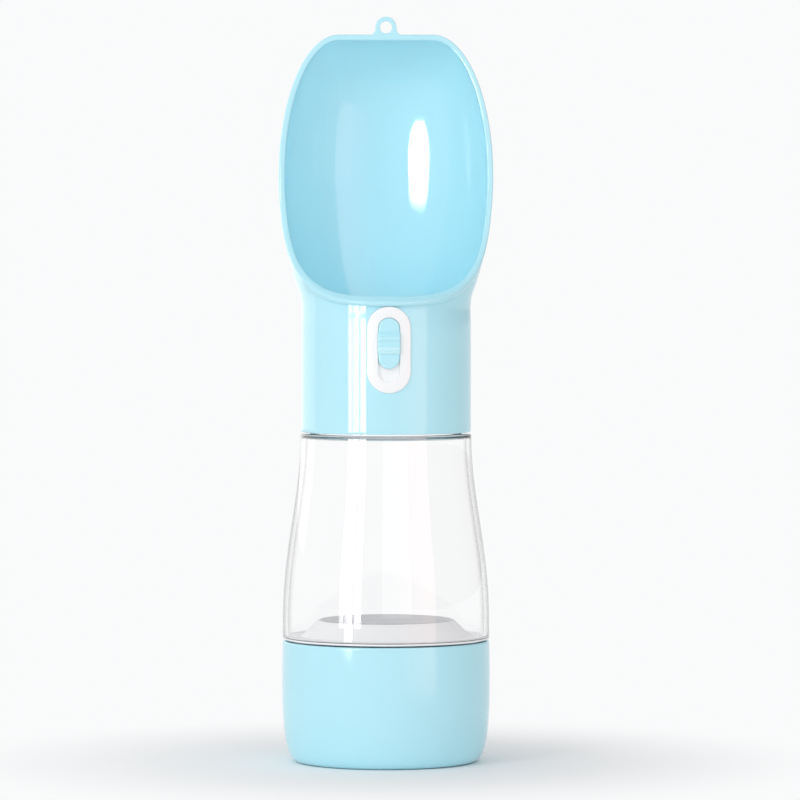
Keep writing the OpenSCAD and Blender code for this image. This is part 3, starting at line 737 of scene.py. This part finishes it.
ring_r = CUP_FOOT_R - FOOT_RING
side_z = [CUP_BELLY_Z * (1 - math.cos(t)) for t in even_steps(0, math.pi / 2, 44)[2:]]
side_z += even_steps(CUP_BELLY_Z, CUP_H - 1, 10)[1:]
profile = rounded([(0, FOOT_RECESS), (ring_r - 1, FOOT_RECESS), (ring_r, 0), (CUP_FOOT_R - 1, 0)],
                  {1: 0.4, 2: 0.4})[:-1]
profile += [(CUP_FOOT_R - 0.6, 0), (CUP_FOOT_R - 0.1, 0.03)]
profile += [(cup_radius(z), z) for z in side_z]
profile += rounded([(CUP_RIM_R, CUP_H - 2), (CUP_RIM_R, CUP_H), (CUP_THREAD_R, CUP_H),
                    (CUP_THREAD_R, CUP_H - 2)], {1: 0.6, 2: 0.4})[1:-1]
profile += fine_rows(CUP_THREAD_R, CUP_H - 0.5, LEDGE_Z + 0.1)
profile += rounded([(CUP_THREAD_R, LEDGE_Z + 1), (CUP_THREAD_R, LEDGE_Z), (CUP_IN_R, LEDGE_Z),
                    (CUP_IN_R, LEDGE_Z - 2)], {2: 0.3})[1:-1]
profile += [(CUP_IN_R - CUP_CORNER * (1 - math.cos(t)), CUP_FLOOR + CUP_CORNER * (1 - math.sin(t)))
            for t in even_steps(0, math.pi / 2, 16)]
profile += [(0, CUP_FLOOR)]


def cup_thread(r, z, turn):
    return -screw_ridge(z, turn, depth=0.5, phase=0.5, **CUP_THREAD) if r == CUP_THREAD_R else 0


food_cup = lathe("food_cup_blue", profile, steps=192, bump=cup_thread)
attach(food_cup, "cup")
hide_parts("food_cup")
print("food cup:", len(food_cup.data.polygons), "faces")

# %% [markdown]
# ## Shared surface effects
# Moulded plastic is never perfectly even. Three effects are used by more than one material here: soft clouds
# of tone with a very fine skin, a paler line on sharp edges that is a painted sheen mixed with rubbed wear,
# and hairline scratches.
# Each is a node group that puts out only masks and heights, so that every material can set its own strength.

# %% Node groups
def fill(tree, node, values):
    """Sets inputs to constants, or links them to the outputs of other nodes."""
    for label, value in values.items():
        if isinstance(value, bpy.types.NodeSocket):
            tree.links.new(value, node.inputs[label])
        else:
            node.inputs[label].default_value = value
    return node


def add_node(tree, kind, values=None, **settings):
    node = tree.nodes.new("ShaderNode" + kind)
    for setting, value in settings.items():
        setattr(node, setting, value)
    return fill(tree, node, values or {})


def math_node(tree, operation, a, b, clamp=False):
    return add_node(tree, "Math", {0: a, 1: b}, operation=operation, use_clamp=clamp).outputs[0]


def map_range(tree, value, low, high, to_low=0.0, to_high=1.0):
    values = {"Value": value, "From Min": low, "From Max": high, "To Min": to_low, "To Max": to_high}
    return add_node(tree, "MapRange", values, interpolation_type="SMOOTHSTEP").outputs[0]


def noise(tree, place, scale, detail, roughness=0.5):
    values = {"Vector": place, "Scale": scale, "Detail": detail, "Roughness": roughness}
    return add_node(tree, "TexNoise", values).outputs["Fac"]


def mix_colors(tree, factor, a, b):
    """The Mix node has sockets for every kind of value. Number 0 is its factor, 6 and 7 are its colours."""
    return add_node(tree, "Mix", {0: factor, 6: a, 7: b}, data_type="RGBA").outputs[2]


def new_group(name, inputs, outputs):
    group = bpy.data.node_groups.new(name, "ShaderNodeTree")
    for label, value in inputs.items():
        group.interface.new_socket(label, in_out="INPUT", socket_type="NodeSocketFloat").default_value = value
    for label in outputs:
        group.interface.new_socket(label, in_out="OUTPUT", socket_type="NodeSocketFloat")
    place = add_node(group, "TexCoord").outputs["Object"]
    return group, group.nodes.new("NodeGroupInput").outputs, group.nodes.new("NodeGroupOutput"), place


def make_moulded_skin():
    group, source, out, place = new_group(
        "moulded_skin", {"Cloud Scale": 26.0, "Skin Scale": 900.0, "Flow": 0.3}, ["Cloud", "Skin"])
    stretched = add_node(group, "Mapping", {"Vector": place, "Scale": (1.0, 1.0, 0.35)}).outputs[0]
    cloud = noise(group, place, source["Cloud Scale"], 2.0)
    flow = noise(group, stretched, source["Cloud Scale"], 4.0, 0.6)
    mixed = add_node(group, "Mix", {"Factor": source["Flow"], "A": cloud, "B": flow}).outputs["Result"]
    fill(group, out, {"Cloud": map_range(group, mixed, 0.3, 0.7),
                      "Skin": noise(group, place, source["Skin Scale"], 3.0, 0.55)})
    return group


# Paler on sharp edges: a painted sheen standing for light caught by the edges, broken up like rubbed wear.
def make_edge_sheen_and_wear():
    group, source, out, place = new_group(
        "edge_sheen_and_wear", {"Start": 0.52, "Full": 0.62, "Breakup": 0.4}, ["Mask"])
    ramp = add_node(group, "MapRange", {"Value": add_node(group, "NewGeometry").outputs["Pointiness"],
                                        "From Min": source["Start"], "From Max": source["Full"]})
    loss = math_node(group, "MULTIPLY", noise(group, place, 420.0, 4.0, 0.6), source["Breakup"])
    kept = math_node(group, "SUBTRACT", 1.0, loss, clamp=True)
    fill(group, out, {"Mask": math_node(group, "MULTIPLY", ramp.outputs[0], kept, clamp=True)})
    return group


def make_hairlines():
    group, source, out, place = new_group("hairlines", {"Scale": 60.0, "Amount": 0.5}, ["Mask"])
    masks = []
    for turn in (0.35, -0.8):
        drawn_out = add_node(group, "Mapping", {"Vector": place, "Rotation": (turn, turn / 2, 0.0),
                                                "Scale": (14.0, 14.0, 0.8)}).outputs[0]
        masks.append(map_range(group, noise(group, drawn_out, source["Scale"], 2.0, 0.4), 0.70, 0.76))
    where = map_range(group, noise(group, place, 34.0, 2.0), 0.42, 0.62)
    strength = math_node(group, "MULTIPLY", source["Amount"], where)
    total = math_node(group, "MAXIMUM", *masks)
    fill(group, out, {"Mask": math_node(group, "MULTIPLY", total, strength, clamp=True)})
    return group


GROUPS = {"moulded_skin": make_moulded_skin(), "edge_sheen_and_wear": make_edge_sheen_and_wear(), "hairlines": make_hairlines()}
print("node groups:", ", ".join(GROUPS))

# %% [markdown]
# ## Colours
# A colour on screen is not the number that light is counted in, so each screen colour is changed to linear
# light once. The white parts stop short of pure white, because a surface that sends back all its light looks
# like a lamp. Each finish has its main tone, a deeper one for the clouds and a paler one painted on sharp
# edges as sheen mixed with wear.

# %% Colours
def linear(r, g, b):
    def channel(v):
        v /= 255
        return v / 12.92 if v <= 0.04045 else ((v + 0.055) / 1.055) ** 2.4
    return (channel(r), channel(g), channel(b), 1.0)


# The third tone of each finish is painted on sharp edges as a sheen mixed with wear.
SKY_BLUE = linear(187, 238, 250), linear(180, 233, 247), linear(212, 247, 254)
BEZEL_WHITE = linear(247, 248, 249), linear(242, 243, 245), linear(252, 252, 252)
INNER_WHITE = linear(240, 241, 240), linear(230, 232, 232), linear(248, 248, 248)
MILKY = linear(232, 236, 238), linear(220, 226, 230), linear(244, 246, 247)
RUBBER_BLACK = linear(34, 34, 36), linear(24, 24, 26), linear(60, 60, 62)
print("sky blue in linear light:", [round(c, 3) for c in SKY_BLUE[0][:3]])

# %% [markdown]
# ## Plastic materials
# One function serves every glossy or matt moulding: two tones mixed by the clouds, a paler edge that is a
# painted sheen mixed with rubbed wear, a roughness that wanders a little, and a skin so fine that it only
# softens the highlight.
# The values differ: the head is glossy, the cup is satin, the inner pieces are matt.

# %% Opaque plastics
CLOUD_SCALE, SKIN_SCALE, CLOUD_SHARE = 14.0, 900.0, 0.35


def new_material(name):
    material = bpy.data.materials.new(name)
    material.use_nodes = True
    return material, material.node_tree, material.node_tree.nodes["Principled BSDF"]


def place_group(tree, name, values=None):
    return add_node(tree, "Group", values, node_tree=GROUPS[name], name=name).outputs


def bump(tree, height, distance):
    return add_node(tree, "Bump", {"Height": height, "Distance": distance}).outputs["Normal"]


def moulded_plastic(name, tones, rough, rough_spread, skin_height, edge=0.5, scratches=0.25, ior=1.5,
                    through=0.0):
    material, tree, shader = new_material(name)
    tone, deep, sheen_tone = tones
    skin = place_group(tree, "moulded_skin", {"Cloud Scale": CLOUD_SCALE, "Skin Scale": SKIN_SCALE})
    # The edge mask paints a paler sheen on sharp edges, mixed with rubbed wear.
    sheen_and_wear_mask = place_group(tree, "edge_sheen_and_wear")["Mask"]
    lines = place_group(tree, "hairlines", {"Amount": scratches})["Mask"]
    toned = mix_colors(tree, math_node(tree, "MULTIPLY", skin["Cloud"], CLOUD_SHARE), tone, deep)
    wander = map_range(tree, skin["Cloud"], 0.0, 1.0, rough - rough_spread, rough + rough_spread)
    fill(tree, shader, {
        "Base Color": mix_colors(tree, math_node(tree, "MULTIPLY", sheen_and_wear_mask, edge), toned, sheen_tone),
        "Roughness": math_node(tree, "ADD", wander, math_node(tree, "MULTIPLY", lines, 0.2), clamp=True),
        "Normal": bump(tree, skin["Skin"], skin_height),
        "IOR": ior,
    })
    if through:
        fill(tree, shader, {"Subsurface Weight": through, "Subsurface Radius": (0.6, 1.0, 1.0),
                            "Subsurface Scale": 0.002})
    return material


def dress(piece, material):
    piece.data.materials.clear()
    piece.data.materials.append(material)


dress(drinking_head, moulded_plastic("glossy_sky_blue", SKY_BLUE, 0.06, 0.015, 0.000002))
dress(food_cup, moulded_plastic("satin_sky_blue", SKY_BLUE, 0.09, 0.02, 0.000003))
dress(thumb_button, moulded_plastic("button_sky_blue", SKY_BLUE, 0.2, 0.04, 0.000006, edge=0.7))
dress(oblong_bezel, moulded_plastic("bezel_white", BEZEL_WHITE, 0.28, 0.04, 0.000005))
print("dressed: head, cup, button, bezel")

# %% [markdown]
# ## The clear plastic
# Clear bottle plastic bends light a little more than water does, and its wall has a real thickness here.
# The renderer cannot aim light through a bending wall, so lamps and diffuse light pass it straight, and what
# lies inside is lit as it is in a real bottle. The camera still sees the bending.
# Where the wall is seen edge-on, its colour is painted grey: a painted shade that stands for the dark rim of
# the bent view through the wall and draws the bottle's outline. Hairline scratches only touch the roughness,
# as handling would.
# The base is frosted in the mould, or the dark inside of the cup would show through. Its ring and slope are
# white, and its flat middle is duller and painted grey, a painted shade as if the head above kept light off
# it.

# %% Clear plastic
WALL_PASSES = 0.96
CLEAR_WHITE = (1.0, 1.0, 1.0, 1.0)
# A painted shade grey for the bottle's edge-on outline.
PAINTED_OUTLINE_SHADE = (0.15, 0.14, 0.14, 1.0)


def blend(tree, factor, first, second):
    return add_node(tree, "MixShader", {0: factor, 1: first, 2: second}).outputs[0]


clear_plastic, tree, shader = new_material("clear_bottle_plastic")
facing = add_node(tree, "LayerWeight", {"Blend": 0.5}).outputs["Facing"]
lines = place_group(tree, "hairlines", {"Amount": 0.35, "Scale": 45.0})["Mask"]
cloud = place_group(tree, "moulded_skin", {"Cloud Scale": 18.0})["Cloud"]
haze = map_range(tree, cloud, 0.0, 1.0, 0.008, 0.02)
fill(tree, shader, {
    # Painted shade: the base colour turns grey where the wall is seen edge-on, drawing the outline.
    "Base Color": mix_colors(tree, map_range(tree, facing, 0.66, 0.95), CLEAR_WHITE, PAINTED_OUTLINE_SHADE),
    "Roughness": math_node(tree, "ADD", haze, math_node(tree, "MULTIPLY", lines, 0.12), clamp=True),
    "Normal": bump(tree, cloud, 0.00002),
    "Transmission Weight": 1.0,
    "IOR": 1.5,
})
surface = shader.outputs["BSDF"]
rays = add_node(tree, "LightPath").outputs
for ray in ("Is Shadow Ray", "Is Diffuse Ray"):
    unbent = add_node(tree, "BsdfTransparent", {"Color": (WALL_PASSES, WALL_PASSES, WALL_PASSES, 1.0)})
    surface = blend(tree, rays[ray], surface, unbent.outputs[0])
fill(tree, tree.nodes["Material Output"], {"Surface": surface})
dress(clear_bottle, clear_plastic)


def frosted_plastic(name, tone, deep, rough, shine):
    material, tree, shader = new_material(name)
    skin = place_group(tree, "moulded_skin", {"Cloud Scale": 40.0, "Skin Scale": 1200.0})
    fill(tree, shader, {
        "Base Color": mix_colors(tree, skin["Cloud"], tone, deep),
        "Roughness": map_range(tree, skin["Skin"], 0.3, 0.7, rough - 0.07, rough + 0.07),
        "IOR": 1.5,
        "Specular IOR Level": shine,
    })
    return material


# The grey of the flat middle is painted shade.
WHITE_FROST, PAINTED_SHADE_FROST = 1, 2
clear_bottle.data.materials.append(frosted_plastic(
    "frosted_bottle_base", linear(253, 253, 254), linear(250, 250, 252), rough=0.48, shine=0.5))
clear_bottle.data.materials.append(frosted_plastic(
    "frosted_bottle_top_painted_shade", linear(222, 223, 225), linear(214, 215, 218), rough=0.9, shine=0.1))
punt_top_z = floor_z + PUNT_H
frosted = 0
for face in clear_bottle.data.polygons:
    across, height = math.hypot(face.center.x, face.center.y) / MM, face.center.z / MM
    slope = PUNT_TOP_R - 0.8 < across < BOTTLE_R - BOTTLE_WALL and abs(face.normal.z) > 0.2
    edge = across > SKIRT_R and height < BASE_Z + 0.7
    if height > BASE_Z - 0.1 and (edge or slope and height < punt_top_z - 0.1):
        face.material_index = WHITE_FROST
    # The flat middle gets the grey of painted shade.
    elif across < PUNT_TOP_R - 1.5 and abs(height - punt_top_z) < 0.1:
        face.material_index = PAINTED_SHADE_FROST
    frosted += face.material_index > 0
print("dressed: clear bottle, with", frosted, "frosted faces round its base")

# %% [markdown]
# ## The inner pieces
# The deck, the gland cap, the stem, the carrier and the outlet tube come from the CAD model as they are.
# They are matt white mouldings. The gaskets and the plug are milky silicone, and the O-ring is black rubber.
# Their meshes stay untouched, and only the material in each object's slot is changed.

# %% Inner pieces
inner_white = moulded_plastic("inner_white", INNER_WHITE, 0.45, 0.06, 0.00001, scratches=0.4)
milky_silicone = moulded_plastic("milky_silicone", MILKY, 0.55, 0.05, 0.000012, through=0.6, ior=1.41,
                                 scratches=0.0)
o_ring_black = moulded_plastic("o_ring_black", RUBBER_BLACK, 0.5, 0.08, 0.000015, scratches=0.0)
NODE_FINISH = {
    "slide_carrier": inner_white, "valve_stem": inner_white, "valve_deck": inner_white,
    "gland_cap": inner_white, "outlet_tube": inner_white, "valve_plug": milky_silicone,
    "neck_gasket": milky_silicone, "cup_gasket": milky_silicone, "stem_o_ring": o_ring_black,
}
for node_name, material in NODE_FINISH.items():
    for material_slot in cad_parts[node_name].material_slots:
        material_slot.link = "OBJECT"
        material_slot.material = material
print("dressed CAD nodes:", ", ".join(NODE_FINISH))

# %% [markdown]
# ## Floor and world
# The bottle stands on a plain pale floor, which shows its shadow near the bottle and fades into the colour of
# the world further out, so no horizon line cuts the picture. The world lights the bottle softly, most from
# the left and front and least from the right and straight above, while the camera and the clear plastic see
# it as a pale backdrop.

# %% Floor and world
BACKDROP = (0.95, 0.957, 0.962, 1.0)
LIGHT_LEFT = (1.0, 1.0, 1.0, 1.0)
LIGHT_RIGHT = (0.46, 0.415, 0.41, 1.0)
LIGHT_ABOVE = (0.60, 0.61, 0.62, 1.0)

floor_profile = [(r, 0) for r in (0, 300, 900, 3000, 12000)] + [(12000, -5), (0, -5)]
floor_piece = lathe("pale_floor", floor_profile, steps=96)
floor_piece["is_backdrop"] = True
floor_material, tree, shader = new_material("pale_floor")
fill(tree, shader, {"Base Color": BACKDROP, "Roughness": 0.7, "Specular IOR Level": 0.15})
glow = add_node(tree, "Emission", {"Color": BACKDROP}).outputs[0]
place = add_node(tree, "TexCoord").outputs["Object"]
distance = add_node(tree, "VectorMath", {0: place}, operation="LENGTH").outputs["Value"]
rays = add_node(tree, "LightPath").outputs
mirrored = math_node(tree, "MAXIMUM", rays["Is Glossy Ray"], rays["Is Transmission Ray"])
seen = math_node(tree, "MAXIMUM", rays["Is Camera Ray"], mirrored)
far = math_node(tree, "MULTIPLY", map_range(tree, distance, 0.045, 0.17), seen)
fill(tree, tree.nodes["Material Output"], {"Surface": blend(tree, far, shader.outputs["BSDF"], glow)})
dress(floor_piece, floor_material)

world = bpy.data.worlds.new("studio")
bpy.context.scene.world = world
world.use_nodes = True
tree = world.node_tree
tree.nodes.clear()
sky = add_node(tree, "TexCoord").outputs["Generated"]
direction = add_node(tree, "SeparateXYZ", {0: sky}).outputs
across = mix_colors(tree, map_range(tree, direction["X"], 0.0, 1.0), LIGHT_LEFT, LIGHT_RIGHT)
whole = mix_colors(tree, map_range(tree, direction["Z"], 0.35, 1.0), across, LIGHT_ABOVE)
soft = add_node(tree, "Background", {"Color": whole}).outputs[0]
backdrop = add_node(tree, "Background", {"Color": BACKDROP}).outputs[0]
rays = add_node(tree, "LightPath").outputs
seen = math_node(tree, "MAXIMUM", rays["Is Camera Ray"], rays["Is Transmission Ray"])
add_node(tree, "OutputWorld", {"Surface": blend(tree, seen, soft, backdrop)})
print("floor and world ready")

# %% [markdown]
# ## Soft light
# Two weak panels stand far off and shape the bottle. The one on the left is smaller and higher, so that the
# grip throws a soft shadow to the right, and the large one fills the bowl from the front. Gloss does not show
# them. Their light is low on purpose: the world gives most of the light, and a pale plastic clips to white as
# soon as the sum of all lights is above one.

# %% Soft light
def softbox(name, place, aim, width, height, watts, spread=180, shape="RECTANGLE"):
    data = bpy.data.lights.new(name, "AREA")
    data.shape = shape
    data.size, data.size_y = width, height
    data.energy = watts
    data.spread = math.radians(spread)
    lamp = bpy.data.objects.new(name, data)
    lamp.location = place
    lamp.rotation_euler = (Vector(aim) - Vector(place)).to_track_quat("-Z", "Y").to_euler()
    lamp.visible_camera = False
    bpy.context.scene.collection.objects.link(lamp)
    return lamp


soft_key = softbox("key_left", (-0.9, -1.1, 0.9), (0, 0, 0.15), 0.45, 0.45, 3.4)
soft_fill = softbox("fill_front", (0.3, -1.6, 0.3), (0, 0, 0.17), 1.0, 1.0, 3.6)
soft_key.visible_glossy = False
soft_fill.visible_glossy = False
print("soft panels ready")

# %% [markdown]
# ## Highlights
# Gloss needs something to reflect. Bright panels stand close to the bottle and show only in gloss, so that
# they add no light to the colours. Three narrow upright ones, 120 mm from its axis, give the collar its white
# strips with thin gaps between them. An oval one above them gives the slim oval in the hollow of the bowl.
# It faces upwards in a narrow beam, or its light would run on down the bowl as a streak. Four dim overlapping
# cards on the right give the faint band there, crisp on one side and fading on the other, and one behind on
# the left lights the head's left edge. The places come from mirror angles: on the round collar, a panel at an
# angle shows where the surface has turned half of that angle.

# %% Highlights
GLOSS_DISTANCE = 0.12


def gloss_panel(name, from_deg, to_deg, low, high, level, distance=GLOSS_DISTANCE, tilt=0.0, spread=180,
                shape="RECTANGLE"):
    """An upright panel between two angles round the axis, facing it, seen in gloss only.
    level is how bright a mirror would show it, and tilt lets it face upwards by so many degrees."""
    middle = math.radians((from_deg + to_deg) / 2)
    width = 2 * distance * math.tan(math.radians(to_deg - from_deg) / 2)
    z = (low + high) / 2
    height = (high - low) / math.cos(math.radians(tilt))
    place = (distance * math.sin(middle), -distance * math.cos(middle), z)
    aim = (0, 0, z + distance * math.tan(math.radians(tilt)))
    half = math.radians(spread) / 2
    narrow = 1 if spread >= 180 else (math.tan(half) - half) / math.tan(half)
    watts = math.pi * width * height * level * narrow
    lamp = softbox(name, place, aim, width, height, watts, spread, shape)
    lamp.visible_diffuse = False
    lamp.visible_transmission = False
    return lamp


for name, from_deg, to_deg, low in (
    ("strip_left", -47.7, -43.1, 0.045),
    ("strip_middle", -42.2, -34.2, 0.0378),
    ("strip_right", -32.7, -25.7, 0.045),
):
    gloss_panel(name, from_deg, to_deg, low, 0.168, level=17, spread=40)
gloss_panel("bowl_oval", -46.5, -24.0, 0.166, 0.228, level=105, tilt=24, spread=60, shape="ELLIPSE")
gloss_panel("edge_left", -165.0, -110.0, 0.1, 0.4, level=0.7, distance=0.3)
for from_deg in (12.0, 20.0, 28.0, 36.0):
    card = gloss_panel("right_card", from_deg, 52.0, 0.0, 0.4, level=0.5, distance=0.3)
    card.data.color = (1.0, 0.58, 0.54)

# %% Measure the visual box
low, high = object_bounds()
print("visual box in mm:", [round(c / MM, 2) for c in (*low, *high)])
